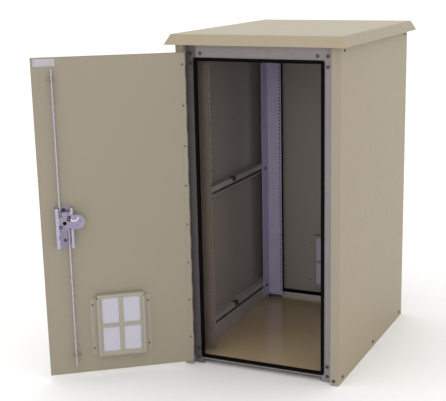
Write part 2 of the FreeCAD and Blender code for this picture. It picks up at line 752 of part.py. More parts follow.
CAM_DISC_R = 27.5
CAM_BORE_R = 6.2
CAM_PIN_R = 3.0
PIN_HEAD_R = 4.0
PIN_RING_R = 6.2          # groove pressed in the cam round each pin head
PIN_RING_DEPTH = 2.2
SOCKET_R = 5.0            # recess in the end of the spindle
TONGUE_H0 = 29.6          # the tongue rides over the housing's lip
TONGUE_H1 = 32.6
TONGUE_EDGE = 22.9        # straight edge and rounded tip of the tongue, off the spindle
TONGUE_REACH = 73.7
TONGUE_Z = (-23.5, 31.5)  # lower and upper side of the tongue off the spindle
RAMP_Z = (-17.0, 8.0)


def cam_pins():
    """(u, z) of the upper rod's pin and the lower rod's pin, unlocked."""
    return ((SPINDLE_U + CAM_PIN, SPINDLE_Z - CAM_PIN), (SPINDLE_U - CAM_PIN, SPINDLE_Z + CAM_PIN))


def cam_tongue():
    """The D-shaped tongue. Its round side faces the hinge."""
    x = door_u(SPINDLE_U)
    z0 = SPINDLE_Z + TONGUE_Z[0]
    z1 = SPINDLE_Z + TONGUE_Z[1]
    radius = (z1 - z0) / 2
    middle = (z0 + z1) / 2
    centre_x = x - TONGUE_REACH + radius
    thick = TONGUE_H1 - TONGUE_H0
    plate = box(centre_x, x - TONGUE_EDGE, inward(TONGUE_H0), inward(TONGUE_H1), z0, z1)
    end = rod(Y_AXIS, radius, thick, centre_x, inward(TONGUE_H0), middle)
    return fuse([plate, end])


def cam_ramp():
    """The bend that carries the tongue from the cam plate up over the housing's lip."""
    profile = [(6, CAM_H0), (6, CAM_H1), (9, CAM_H1), (19, TONGUE_H1), (24, TONGUE_H1),
               (24, TONGUE_H0), (20.4, TONGUE_H0), (10.4, CAM_H0)]
    x = door_u(SPINDLE_U)
    corners = [FreeCAD.Vector(x - r, inward(h), SPINDLE_Z + RAMP_Z[0]) for r, h in profile]
    face = Part.Face(Part.makePolygon(corners + corners[:1]))
    return face.extrude(Z_AXIS * (RAMP_Z[1] - RAMP_Z[0]))


def latch_cam():
    """The cam on the spindle: a disc under the housing's lips that carries the two rod pins,
    and a D-shaped tongue. It is drawn unlocked, with the tongue towards the hinge side."""
    x = door_u(SPINDLE_U)
    y0 = inward(CAM_H0)
    disc = rod(Y_AXIS, CAM_DISC_R, CAM_H1 - CAM_H0, x, y0, SPINDLE_Z)
    plate = fuse([disc, cam_ramp(), cam_tongue()])
    plate = plate.cut(rod(Y_AXIS, CAM_BORE_R, 20, x, y0 - 5, SPINDLE_Z))
    for u, z in cam_pins():
        ring = rod(Y_AXIS, PIN_RING_R, 6, door_u(u), inward(CAM_H1 - PIN_RING_DEPTH), z)
        core = rod(Y_AXIS, PIN_HEAD_R, 6, door_u(u), inward(CAM_H1 - PIN_RING_DEPTH), z)
        plate = plate.cut(ring.cut(core))
    pieces = [plate]
    for u, z in cam_pins():
        pieces.append(rod(Y_AXIS, CAM_PIN_R, CAM_H0 - 13, door_u(u), inward(13), z))
        pieces.append(rod(Y_AXIS, 5, 1.2, door_u(u), inward(12.8), z))
        pieces.append(button_head(Y_AXIS, PIN_HEAD_R, 1.1, door_u(u), inward(CAM_H1), z))
    return fuse(pieces)


LEVER_L = 112.0
LEVER_W = 20.0
HANDLE_PLATE_T = 3.0


def lever_handle():
    """Outside lever and its spindle in one, drawn locked with the lever down and then
    turned a quarter turn to unlocked, with the lever towards the hinge."""
    x = door_u(SPINDLE_U)
    face = DOOR_OUT - HANDLE_PLATE_T
    shaft = rod(Y_AXIS, SPINDLE_R, inward(CAM_H0) - (face - 6), x, face - 6, SPINDLE_Z)
    stub = rod(Y_AXIS, CAM_BORE_R, CAM_H1 - CAM_H0, x, inward(CAM_H0), SPINDLE_Z)
    hub = rod(Y_AXIS, 14, 18, x, face - 18.5, SPINDLE_Z)
    arm = box(x - LEVER_W / 2, x + LEVER_W / 2, face - 18.5, face - 10.5,
              SPINDLE_Z - LEVER_L, SPINDLE_Z)
    arm = round_edges(arm, Y_AXIS, 9, lambda point: point.z < SPINDLE_Z - LEVER_L + 1)
    arm = round_edges(arm, Z_AXIS, 2.5, lambda point: point.y < face - 18)
    tab = box(x + LEVER_W / 2 - 3, x + LEVER_W / 2, face - 38, face - 15,
              SPINDLE_Z - 92, SPINDLE_Z - 66)
    eye = rod(X_AXIS, 5, 10, x + 2, face - 29, SPINDLE_Z - 79)
    lever = fuse([shaft, stub, hub, arm, tab]).cut(eye)
    lever = lever.cut(rod(Y_AXIS, SOCKET_R, 14, x, inward(CAM_H1) - 12, SPINDLE_Z))
    lever.rotate(FreeCAD.Vector(x, 0, SPINDLE_Z), Y_AXIS, 90)
    return lever


def handle_plate():
    """The plate under the lever, with the fixed padlock ear that stops the lever."""
    x = door_u(SPINDLE_U)
    face = DOOR_OUT - HANDLE_PLATE_T
    plate = box(x - 31.5, x + 31.5, face, DOOR_OUT, HOUSING_Z0 - 6, HOUSING_Z1)
    plate = round_edges(plate, Y_AXIS, 8, lambda point: True)
    ear = box(x + LEVER_W / 2 + 0.5, x + LEVER_W / 2 + 3.5, face - 38, face,
              SPINDLE_Z - 92, SPINDLE_Z - 66)
    eye = rod(X_AXIS, 5, 10, x + 8, face - 29, SPINDLE_Z - 79)
    return fuse([plate, ear]).cut([eye, spindle_hole()])


def lock_rod(pin, tip_z):
    """A lock rod from its cam pin to its tip. The end at the pin is a flat eye."""
    u, z = pin
    up = 1 if tip_z > z else -1
    eye = rod(Y_AXIS, 8, 6, door_u(u), inward(ROD_H - 3), z)
    tang = box(door_u(u) - 4, door_u(u) + 4, inward(ROD_H - 3), inward(ROD_H + 3), z, z + up * 16)
    start = z + up * 12
    bar = rod(Z_AXIS, ROD_R, abs(tip_z - start), door_u(u), inward(ROD_H), min(start, tip_z))
    crown = [edge for edge in bar.Edges
             if edge.Curve.TypeId == "Part::GeomCircle" and abs(edge.CenterOfMass.z - tip_z) < 0.1]
    bar = bar.makeFillet(2.0, crown)
    bore = rod(Y_AXIS, CAM_PIN_R + CLEAR, 20, door_u(u), inward(ROD_H) - 10, z)
    return fuse([eye, tang, bar]).cut(bore)


GUIDE_UPPER = (1067.0, 1150.0)
GUIDE_LOWER = (137.0, 97.0)
GUIDE_EAR_H = 25.0
GUIDE_EDGE = 5.0


def rod_sway():
    """How far a rod moves sideways and back as its pin swings through its quarter turn."""
    return CAM_PIN * (math.sqrt(2) - 1)


def rod_guide(pin, span, sway_side):
    """A rod guide: a plate on the liner with an ear at its far end, slotted for the rod.
    sway_side is +1 or -1, the side that the rod sways to."""
    u = pin[0]
    base_z, ear_z = span
    out = 1 if ear_z > base_z else -1
    slack = ROD_R + 0.8
    near = u - sway_side * slack
    far = u + sway_side * (rod_sway() + slack)
    plate = box(door_u(u - 14), door_u(u + 14), inward(0), inward(2), base_z, ear_z)
    ear = box(door_u(near - sway_side * GUIDE_EDGE), door_u(far + sway_side * GUIDE_EDGE),
              inward(0), inward(GUIDE_EAR_H), ear_z, ear_z - out * 2.5)
    slot = box(door_u(near), door_u(far), inward(ROD_H - slack), inward(ROD_H + slack),
               ear_z - 4, ear_z + 4)
    guide = fuse([plate, ear]).cut(slot)
    places = [(door_u(u), z) for z in guide_rivet_z(span)]
    return drill_y(guide, places, RIVET_R + CLEAR, DOOR_IN - 1, DOOR_IN + 3)


def guide_rivet_z(span):
    base_z, ear_z = span
    return (base_z + 0.25 * (ear_z - base_z), base_z + 0.75 * (ear_z - base_z))


def rod_guides():
    upper_pin, lower_pin = cam_pins()
    return Part.makeCompound([rod_guide(upper_pin, GUIDE_UPPER, 1),
                              rod_guide(lower_pin, GUIDE_LOWER, -1)])


def rivet(x, z, seat_y, grip):
    head = button_head(Y_AXIS, RIVET_HEAD_R, 1.5, x, seat_y, z)
    shank = rod(Y_AXIS * -1, RIVET_R, grip, x, seat_y, z)
    return fuse([head, shank])


def door_fasteners():
    """Hinge rivets, filter channel rivets, guide rivets and the lock's two nuts."""
    solids = []
    for x, z in rivet_places():
        solids.append(rivet(x, z, DOOR_IN + LEAF_T, LEAF_T + 2 * DOOR_SHEET))
    for side in (-1, 1):
        for z in FILTER_SCREW_Z:
            x = door_u(FILTER_U + side * FILTER_SCREW_U)
            solids.append(rivet(x, z, inward(CHANNEL_T), CHANNEL_T))
    for pin, span in zip(cam_pins(), (GUIDE_UPPER, GUIDE_LOWER)):
        for z in guide_rivet_z(span):
            solids.append(rivet(door_u(pin[0]), z, inward(2), 2))
    for z in LOCK_NUTS:
        x = door_u(SPINDLE_U)
        nut = hex_prism(Y_AXIS, 5.5, 4.5, x, inward(HOUSING_T), z)
        stud = rod(Y_AXIS, SCREW_R, 8, x, inward(0), z)
        solids.append(fuse([nut, stud]))
    return Part.makeCompound(solids)


# ---- write every sub-part -----------------------------------------------------------
def left_and_right(piece):
    return {"left": piece, "right": mirror_x(piece)}


def write_body():
    save(roof_canopy(), "roof_canopy")
    save(top_panel(), "top_panel")
    save(side_panel(HINGE_FLANGE), "left_side_panel")
    save(mirror_x(side_panel(LOCK_FLANGE)), "right_side_panel")
    for side, shape in left_and_right(upright()).items():
        save(shape, "front_" + side + "_upright")
        save(mirror_y(shape), "rear_" + side + "_upright")
    save(sill(SILL_Z0, OPEN_Z0), "front_sill")
    save(mirror_y(sill(FRAME_Z0, REAR_OPEN_Z0)), "rear_sill")
    save(door_seal(OPEN_Z0, SEAL_INSIDE), "front_door_seal")
    save(mirror_y(door_seal(REAR_OPEN_Z0, REAR_SEAL_INSIDE)), "rear_door_seal")
    pairs = {"header": header(), "hinge_frame_leaf": hinge_frame_leaf()}
    for name, shape in pairs.items():
        save(shape, "front_" + name)
        save(mirror_y(shape), "rear_" + name)
    for side, shape in left_and_right(side_rail(MID_RAIL, MID_SLOT_Z)).items():
        save(shape, side + "_mid_rail")
    for side, shape in left_and_right(side_rail(BASE_RAIL, BASE_SLOT_Z)).items():
        save(shape, side + "_base_rail")
    for side, shape in left_and_right(rack_rail(FRONT_RACK_Y, 1)).items():
        save(shape, "front_" + side + "_rack_rail")
    for side, shape in left_and_right(rack_rail(REAR_RACK_Y, -1)).items():
        save(shape, "rear_" + side + "_rack_rail")
    save(floor_pan(), "floor_pan")
    save(floor_channels(), "floor_channels")
    save(corner_gussets(), "corner_gussets")
    save(frame_screws(), "frame_screws")
    save(panel_screws(), "panel_screws")
    save(Part.makeCompound(rail_clamps() + rack_bolts()), "rail_hardware")
    save(hinge_pins(), "hinge_pins")


def write_doors():
    upper_pin, lower_pin = cam_pins()
    pieces = {
        "door_skin": door_skin(),
        "door_liner": door_liner(),
        "hinge_door_leaf": hinge_door_leaf(),
        "door_fasteners": door_fasteners(),
        "lock_housing": lock_housing(),
        "rod_guides": rod_guides(),
        "filter_channels": filter_channels(),
        "handle_plate": handle_plate(),
        "latch_cam": latch_cam(),
        "lever_handle": lever_handle(),
        "upper_lock_rod": lock_rod(upper_pin, ROD_TOP),
        "lower_lock_rod": lock_rod(lower_pin, ROD_BOTTOM),
        "filter_frame": filter_frame(),
        "filter_media": filter_media(),
    }
    for name, shape in pieces.items():
        save(swing_open(shape), "front_" + name)
        save(mirror_y(shape), "rear_" + name)
    save(swing_open(label_plate()), "label_plate")


os.makedirs("parts", exist_ok=True)
write_body()
write_doors()
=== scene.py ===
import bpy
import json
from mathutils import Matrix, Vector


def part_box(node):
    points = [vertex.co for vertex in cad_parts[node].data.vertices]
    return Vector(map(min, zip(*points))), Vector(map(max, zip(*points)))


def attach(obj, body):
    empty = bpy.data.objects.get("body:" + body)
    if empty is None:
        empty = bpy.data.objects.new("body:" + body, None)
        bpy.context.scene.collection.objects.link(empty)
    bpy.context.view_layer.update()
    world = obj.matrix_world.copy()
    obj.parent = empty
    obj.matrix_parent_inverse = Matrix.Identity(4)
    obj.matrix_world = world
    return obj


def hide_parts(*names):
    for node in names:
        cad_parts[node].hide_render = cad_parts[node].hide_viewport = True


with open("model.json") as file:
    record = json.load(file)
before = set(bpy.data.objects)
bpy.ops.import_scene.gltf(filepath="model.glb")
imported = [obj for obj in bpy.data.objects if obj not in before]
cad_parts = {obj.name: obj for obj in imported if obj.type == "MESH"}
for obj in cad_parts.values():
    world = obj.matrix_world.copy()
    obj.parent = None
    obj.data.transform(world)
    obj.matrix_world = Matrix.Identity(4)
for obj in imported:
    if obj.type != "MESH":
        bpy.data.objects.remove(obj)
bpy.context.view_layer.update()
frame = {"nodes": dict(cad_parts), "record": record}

import json
import math

import bmesh
import bpy
import numpy as np
from mathutils import Matrix, Vector, noise

# Looks for an outdoor battery cabinet: a material for every CAD node, the soft pieces
# (door seals and filter mats), the floor, the light and the camera. Metres, Z up.

NODES = frame["nodes"]
ENDS = ("front", "rear")
MM = 0.001
UP = (0.0, 0.0, 1.0)


# ---- material building blocks ----

class Surface:
    """A material being made. Most calls add nodes and return their output. Fixed, relief, color
    and rough set what the shader shows."""

    def __init__(self, name):
        self.material = bpy.data.materials.new(name)
        self.material.use_nodes = True
        self.tree = self.material.node_tree
        self.shader = self.tree.nodes["Principled BSDF"]
        self.coords = self.add("ShaderNodeTexCoord").outputs["Object"]

    def add(self, kind):
        return self.tree.nodes.new(kind)

    def link(self, source, target):
        self.tree.links.new(source, target)

    def fixed(self, **values):
        """Sets the shader's own sockets: names are the socket names in lower case."""
        for name, value in values.items():
            self.shader.inputs[name.replace("_", " ").title().replace("Ior", "IOR")].default_value = value

    def stretched(self, x, y, z):
        node = self.add("ShaderNodeMapping")
        node.inputs["Scale"].default_value = (x, y, z)
        self.link(self.coords, node.inputs["Vector"])
        return node.outputs["Vector"]

    def noise(self, scale, detail=2.0, roughness=0.5, distortion=0.0, space=None):
        node = self.add("ShaderNodeTexNoise")
        node.inputs["Scale"].default_value = scale
        node.inputs["Detail"].default_value = detail
        node.inputs["Roughness"].default_value = roughness
        node.inputs["Distortion"].default_value = distortion
        self.link(space or self.coords, node.inputs["Vector"])
        return node.outputs["Fac"]

    def voronoi(self, scale):
        node = self.add("ShaderNodeTexVoronoi")
        node.inputs["Scale"].default_value = scale
        self.link(self.coords, node.inputs["Vector"])
        return node

    def cells(self, scale):
        """Distance from the nearest cell's centre."""
        return self.voronoi(scale).outputs["Distance"]

    def cell_shade(self, scale):
        """One random grey per cell."""
        grey = self.add("ShaderNodeRGBToBW")
        self.link(self.voronoi(scale).outputs["Color"], grey.inputs["Color"])
        return grey.outputs["Val"]

    def from_middle(self, axis):
        """Distance from the cabinet's middle plane, along X or Y."""
        split = self.add("ShaderNodeSeparateXYZ")
        self.link(self.coords, split.inputs["Vector"])
        size = self.add("ShaderNodeMath")
        size.operation = "ABSOLUTE"
        self.link(split.outputs[axis], size.inputs[0])
        return size.outputs["Value"]

    def along(self, direction):
        """How far a place lies in one direction."""
        node = self.add("ShaderNodeVectorMath")
        node.operation = "DOT_PRODUCT"
        node.inputs[1].default_value = direction
        self.link(self.coords, node.inputs[0])
        return node.outputs["Value"]

    def off_axis(self, end, spot, all_round):
        """Distance from the line through a spot, square to a door, all round or only sideways."""
        sideways = across_door(end)
        parts = self.add("ShaderNodeCombineXYZ")
        level = self.add("ShaderNodeMath")
        level.operation = "SUBTRACT"
        self.link(self.along(sideways), level.inputs[0])
        level.inputs[1].default_value = Vector(spot).dot(Vector(sideways))
        self.link(level.outputs["Value"], parts.inputs["X"])
        if all_round:
            height = self.add("ShaderNodeMath")
            height.operation = "SUBTRACT"
            self.link(self.along(UP), height.inputs[0])
            height.inputs[1].default_value = spot[2]
            self.link(height.outputs["Value"], parts.inputs["Y"])
        size = self.add("ShaderNodeVectorMath")
        size.operation = "LENGTH"
        self.link(parts.outputs["Vector"], size.inputs[0])
        return size.outputs["Value"]

    def times(self, first, second):
        node = self.add("ShaderNodeMath")
        node.operation = "MULTIPLY"
        self.link(first, node.inputs[0])
        self.link(second, node.inputs[1])
        return node.outputs["Value"]

    def remap(self, value, low, high, to_low, to_high):
        node = self.add("ShaderNodeMapRange")
        node.inputs["From Min"].default_value = low
        node.inputs["From Max"].default_value = high
        node.inputs["To Min"].default_value = to_low
        node.inputs["To Max"].default_value = to_high
        self.link(value, node.inputs["Value"])
        return node.outputs["Result"]

    def blend(self, factor, first, second):
        """Mixes two colours; each is a tuple or the output of another node."""
        node = self.add("ShaderNodeMix")
        node.data_type = "RGBA"
        self.link(factor, node.inputs["Factor"])
        for socket, value in (("A", first), ("B", second)):
            target = [s for s in node.inputs if s.name == socket and s.type == "RGBA"][0]
            if isinstance(value, tuple):
                target.default_value = (*value, 1.0)
            else:
                self.link(value, target)
        return [s for s in node.outputs if s.type == "RGBA"][0]

    def relief(self, *layers):
        """Bump from (height output, strength, depth in metres) layers, coarse to fine."""
        normal = None
        for height, strength, depth in layers:
            node = self.add("ShaderNodeBump")
            node.inputs["Strength"].default_value = strength
            node.inputs["Distance"].default_value = depth
            self.link(height, node.inputs["Height"])
            if normal is not None:
                self.link(normal, node.inputs["Normal"])
            normal = node.outputs["Normal"]
        self.link(normal, self.shader.inputs["Normal"])

    def color(self, output):
        self.link(output, self.shader.inputs["Base Color"])

    def rough(self, output):
        self.link(output, self.shader.inputs["Roughness"])


def scaled(color, factor):
    return tuple(min(1.0, channel * factor) for channel in color)


JOINTS = {joint["name"]: joint for joint in frame["record"]["behaviour"]["joints"]}


def joint_spot(joint):
    return tuple(JOINTS[joint]["pos_m"])


def across_door(end):
    """Unit vector across a door, level, as the door stands at rest."""
    out = Vector(JOINTS[f"{end}_handle_turn"]["axis"]).normalized()
    return tuple(out.cross(Vector(UP)))


def local_axes(node, toward):
    """A slab node's own frame: its centre, its axes (level along it, up, and the normal that
    points toward a spot) and its size along each of them."""
    points = np.array([v.co for v in NODES[node].data.vertices])
    flat = points[:, :2] - points[:, :2].mean(axis=0)
    vectors = np.linalg.eigh(flat.T @ flat)[1]
    along = Vector((*vectors[:, 1], 0.0)).normalized()
    up = Vector(UP)
    normal = along.cross(up)
    lo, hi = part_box(node)
    middle = (lo + hi) / 2
    if normal.dot(Vector(toward) - middle) < 0:
        normal = -normal
        along = -along
    axes = (along, up, normal)
    centre = Vector()
    sizes = []
    for axis in axes:
        reach = points @ np.array(axis)
        low, high = float(reach.min()), float(reach.max())
        centre += axis * (low + high) / 2
        sizes.append(high - low)
    return centre, axes, sizes


def indoor_face(end):
    """The direction that a door's inner face looks in, and how far that way the face lies."""
    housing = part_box(f"{end}_lock_housing")
    middle, axes, sizes = local_axes(f"{end}_door_liner", (housing[0] + housing[1]) / 2)
    return tuple(axes[2]), middle.dot(axes[2]) + sizes[2] / 2


# ---- materials ----

TAN = (0.318, 0.264, 0.174)
TAN_DOOR = (0.290, 0.250, 0.187)
# painted indoor light: the indoor faces and the top panel take a greyer tan that stands for the cooler
# light inside the cabinet
TAN_PAINTED_INDOOR_LIGHT = (0.318, 0.283, 0.268)
# painted indoor light: the rear door liner takes a greyer tan for the same cooler light inside
TAN_REAR_PAINTED_INDOOR_LIGHT = (0.308, 0.270, 0.244)

# The side sheets' faces nearer the middle than SIDE_WALL are indoors, and their front and rear
# flanges lie past SIDE_END.
SIDE_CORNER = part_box("right_side_panel")[1]
SIDE_WALL = SIDE_CORNER.x - 1.2 * MM
SIDE_END = SIDE_CORNER.y - 6.0 * MM
WALL_FADE = 0.2 * MM
FLANGE_FADE = 1.0 * MM
FLANGE_TAN = 0.5  # the flanges get the painted indoor light at half strength
INDOOR_GLOSS = 0.5  # walls keep their shine indoors, so their roughness is half
RIM_START = 2.0 * MM  # painted shade on a door's folded rim starts this far short of its inner face
RIM_FULL = 1.0 * MM  # and has its full shade here
RIM_SHADE = 0.45
PEEL = 0.22  # strength of the orange peel

HOUSING_DULL = (0.24, 0.215, 0.29)
HOUSING_BRIGHT = (0.32, 0.29, 0.38)
CAM_DULL = (0.25, 0.225, 0.31)
CAM_BRIGHT = (0.33, 0.30, 0.40)
# painted highlight on the lock housing's side lips
LIP_HIGHLIGHT = (0.42, 0.395, 0.52)
SATIN = (0.56, 0.56, 0.58)
LIP_REACH = 20.0 * MM  # from the lock's spindle to its side lips
LIP_FADE = 2.0 * MM
# painted shade in the gap round the spindle and round the rod pins
SPINDLE_GAP = 7.6 * MM
PIN_GAP = (3.6 * MM, 7.4 * MM)  # inside and outside radius of the painted shade ring round a rod pin
GAP_FADE = 0.5 * MM
GAP_SHADE = (0.008, 0.006, 0.014)
CREASE_R = 16.0 * MM
CREASE_CORE = 1.2 * MM  # half the width of the painted crease highlight at full strength
CREASE_EDGE = 2.4 * MM  # and at its faded edge
CREASE_FADE = 3.0 * MM
# painted highlight along the latch tongue's crease
CREASE_HIGHLIGHT = (0.80, 0.78, 0.88)
CREASE_ACROSS = 35.0 * MM  # centre of the tongue's crease off the spindle
CREASE_UP = 24.5 * MM
# painted shade on the handle's spindle end inside the door
SPINDLE_SHADE = (0.012, 0.010, 0.016)
SPINDLE_FADE = 2.0 * MM


def powder_coat(name, color, low=0.41, high=0.46, inside=None, rim=None, shine=0.5):
    """Powder coat on sheet metal: orange peel, faint mottling, dust specks, sheet waviness.
    A side sheet takes the inside colour on its indoor faces, which is painted indoor light, a greyer tan.
    The rim says where a door's inner face lies: the folded edge gets painted shade from just before it."""
    s = Surface(name)
    broad = s.noise(2.3, 3.0, 0.55)
    fine = s.noise(420.0, 2.0, 0.6)
    speck = s.remap(s.cells(260.0), 0.0, 0.12, 1.0, 0.0)
    tone = s.blend(s.remap(broad, 0.3, 0.7, 0.0, 1.0), scaled(color, 0.99), scaled(color, 1.01))
    # painted indoor light on the side sheets' indoor faces, half of it on their flanges
    if inside:
        outdoors = s.remap(s.from_middle("X"), SIDE_WALL - WALL_FADE, SIDE_WALL + WALL_FADE, 0.0, 1.0)
        flange = s.remap(s.from_middle("Y"), SIDE_END, SIDE_END + FLANGE_FADE, 0.0, FLANGE_TAN)
        tone = s.blend(flange, s.blend(outdoors, inside, tone), tone)
    tone = s.blend(s.remap(fine, 0.35, 0.75, 0.0, 0.12), tone, scaled(color, 0.85))
    tone = s.blend(s.remap(speck, 0.0, 1.0, 0.0, 0.06), tone, scaled(color, 1.2))
    # painted shade on the door's folded rim, in the gap where the skin meets the liner
    if rim:
        direction, face = rim
        folded = s.remap(s.along(direction), face - RIM_START, face - RIM_FULL, 0.0, 1.0)
        tone = s.blend(folded, tone, scaled(color, RIM_SHADE))
    s.color(tone)
    sheen = s.remap(s.noise(36.0, 4.0, 0.6), 0.3, 0.7, low, high)
    if inside:
        sheen = s.times(sheen, s.remap(outdoors, 0.0, 1.0, INDOOR_GLOSS, 1.0))
    s.rough(sheen)
    s.relief((s.noise(1.7, 1.0, 0.4), 0.06, 0.003), (s.noise(330.0, 2.0, 0.55), PEEL, 0.0002))
    s.fixed(coat_weight=0.06, coat_roughness=0.25, specular_ior_level=shine)
    return s.material


def floor_enamel():
    """Glossy enamel on the floor pan, with rub marks from equipment being slid in."""
    s = Surface("floor_enamel")
    color = (0.430, 0.325, 0.188)
    along = s.stretched(42.0, 2.2, 42.0)
    rubs = s.noise(3.0, 6.0, 0.75, 0.8, along)
    tone = s.blend(s.remap(s.noise(3.0, 4.0), 0.3, 0.7, 0.0, 1.0), scaled(color, 0.92), scaled(color, 1.05))
    tone = s.blend(s.remap(rubs, 0.60, 0.85, 0.0, 0.10), tone, scaled(color, 1.25))
    s.color(tone)
    s.rough(s.remap(rubs, 0.4, 0.75, 0.17, 0.30))
    s.relief((s.noise(1.4, 1.0), 0.12, 0.003), (rubs, 0.02, 0.0002))
    s.fixed(coat_weight=0.25, coat_roughness=0.12)
    return s.material


EVEN = (1.0, 1.0, 1.0)
ROLLED = (1.0, 1.0, 0.03)  # streaks run up and down


def metal(name, color, tint, low, high, metallic, streak=ROLLED, grain=900.0, cells=0.0):
    """Plated or chromated metal: fine streaks, blotches and, if wanted, crystals."""
    s = Surface(name)
    lines = s.noise(grain, 3.0, 0.65, 0.0, s.stretched(*streak))
    blotch = s.noise(19.0, 4.0, 0.6, 0.4)
    tone = s.blend(s.remap(blotch, 0.32, 0.68, 0.0, 1.0), color, tint)
    tone = s.blend(s.remap(lines, 0.35, 0.75, 0.0, 0.22), tone, scaled(color, 0.72))
    if cells:
        tone = s.blend(s.remap(s.cell_shade(cells), 0.2, 0.8, 0.0, 0.16), tone, scaled(color, 1.3))
    s.color(tone)
    s.rough(s.remap(s.noise(75.0, 4.0, 0.6), 0.3, 0.7, low, high))
    s.relief((s.noise(6.0, 2.0), 0.12, 0.001), (lines, 0.10, 0.00012))
    s.fixed(metallic=metallic)
    return s.material


def paint_gap_shade(s, end, tone):
    """Paints shade into the gap round the lock's spindle and into a ring round each rod pin."""
    for joint, low, high in (("handle_turn", 0.0, SPINDLE_GAP), ("upper_rod_pivot", *PIN_GAP),
                             ("lower_rod_pivot", *PIN_GAP)):
        reach = s.off_axis(end, joint_spot(f"{end}_{joint}"), True)
        shade_mask = s.remap(reach, high - GAP_FADE, high, 1.0, 0.0)
        if low:
            shade_mask = s.times(shade_mask, s.remap(reach, low - GAP_FADE, low, 0.0, 1.0))
        tone = s.blend(shade_mask, tone, GAP_SHADE)
    return tone


def lock_plate(end, name, dull, bright, lips=None):
    """Bright zinc plate on the lock, mottled and crystalline. The housing is given a painted highlight on
    its side lips; the cam plate, which has no lips, gets a painted highlight along the crease of its
    tongue."""
    s = Surface(f"{end}_{name}")
    grain = s.noise(700.0, 3.0, 0.65)
    blotch = s.noise(45.0, 4.0, 0.6, 0.4)
    tone = s.blend(s.remap(blotch, 0.35, 0.65, 0.0, 1.0), dull, bright)
    tone = s.blend(s.remap(s.cell_shade(240.0), 0.2, 0.8, 0.0, 0.2), tone, scaled(bright, 1.2))
    tone = s.blend(s.remap(grain, 0.35, 0.75, 0.0, 0.15), tone, scaled(dull, 0.6))
    # painted highlight on the side lips
    if lips:
        sideways = s.off_axis(end, joint_spot(f"{end}_handle_turn"), False)
        tone = s.blend(s.remap(sideways, LIP_REACH - LIP_FADE, LIP_REACH, 0.0, 1.0), tone, lips)
    else:
        # painted highlight along the tongue's crease, only below the crease's centre
        centre = crease_centre(end)
        bend = s.off_axis(end, centre, True)
        crease_highlight = s.times(s.remap(bend, CREASE_R - CREASE_EDGE, CREASE_R - CREASE_CORE, 0.0, 1.0),
                       s.remap(bend, CREASE_R + CREASE_CORE, CREASE_R + CREASE_EDGE, 1.0, 0.0))
        below = s.remap(s.along(UP), centre[2] - CREASE_FADE, centre[2], 1.0, 0.0)
        tone = s.blend(s.times(crease_highlight, below), tone, CREASE_HIGHLIGHT)
    # painted shade in the spindle gap and round the rod pins
    s.color(paint_gap_shade(s, end, tone))
    s.rough(s.remap(s.noise(120.0, 4.0, 0.6), 0.3, 0.7, 0.22, 0.40))
    s.relief((s.noise(14.0, 2.0), 0.25, 0.001), (grain, 0.10, 0.0001))
    s.fixed(metallic=0.7)
    return s.material


def crease_centre(end):
    """The point that the painted highlight on the latch tongue's crease bends round. The highlight stops at
    its height.
    """
    spindle = Vector(joint_spot(f"{end}_handle_turn"))
    hinge = Vector(joint_spot(f"{end}_door_hinge"))
    toward = hinge - spindle
    toward.z = 0.0
    spot = spindle + toward.normalized() * CREASE_ACROSS
    spot.z += CREASE_UP
    return tuple(spot)


def cast_metal(end, color):
    """Satin chrome over a zinc casting: small pits and handling marks, and painted shade on the spindle end
    past the door's inner face.
    """
    s = Surface(f"{end}_handle_satin_chrome")
    marks = s.noise(60.0, 6.0, 0.7, 0.6)
    tone = s.blend(s.remap(marks, 0.35, 0.7, 0.0, 1.0), scaled(color, 0.9), scaled(color, 1.06))
    # painted shade on the spindle end past the door's inner face
    direction, face = indoor_face(end)
    spindle_shade_mask = s.remap(s.along(direction), face, face + SPINDLE_FADE, 0.0, 1.0)
    s.color(s.blend(spindle_shade_mask, tone, SPINDLE_SHADE))
    s.rough(s.remap(marks, 0.3, 0.75, 0.18, 0.34))
    s.relief((s.noise(9.0, 2.0), 0.1, 0.0008), (s.remap(s.cells(700.0), 0.0, 0.25, 0.0, 1.0), 0.12, 0.0001))
    s.fixed(metallic=0.95)
    return s.material


def rubber():
    """Sponge rubber: fine pores, a dusty bloom on the crown."""
    s = Surface("seal_rubber")
    dust = s.noise(22.0, 5.0, 0.65)
    s.color(s.blend(s.remap(dust, 0.4, 0.75, 0.0, 0.5), (0.0016, 0.0010, 0.0020), (0.0035, 0.0026, 0.0040)))
    s.rough(s.remap(dust, 0.3, 0.7, 0.50, 0.72))
    s.relief((s.noise(900.0, 3.0, 0.7), 0.35, 0.0002), (s.cells(1500.0), 0.2, 0.0001))
    s.fixed(specular_ior_level=0.05)
    return s.material


def filter_felt():
    """Bonded polyester fibre: matted strands in all directions over a soft, slightly grey ground."""
    s = Surface("filter_felt")
    strands = s.noise(520.0, 5.0, 0.75, 1.6)
    crossed = s.noise(240.0, 4.0, 0.7, 2.4, s.stretched(1.0, 1.0, 0.35))
    clumps = s.noise(55.0, 4.0, 0.6)
    tone = s.blend(s.remap(clumps, 0.3, 0.7, 0.0, 1.0), (0.455, 0.44, 0.515), (0.49, 0.475, 0.545))
    tone = s.blend(s.remap(strands, 0.42, 0.66, 0.0, 0.35), tone, (0.62, 0.61, 0.67))
    tone = s.blend(s.remap(crossed, 0.58, 0.74, 0.0, 0.30), tone, (0.43, 0.41, 0.46))
    s.color(tone)
    s.rough(s.remap(clumps, 0.3, 0.7, 0.85, 0.97))
    s.relief((clumps, 0.4, 0.0012), (crossed, 0.5, 0.0006), (strands, 0.5, 0.0003))
    s.fixed(sheen_weight=0.25, sheen_roughness=0.6, specular_ior_level=0.2)
    return s.material


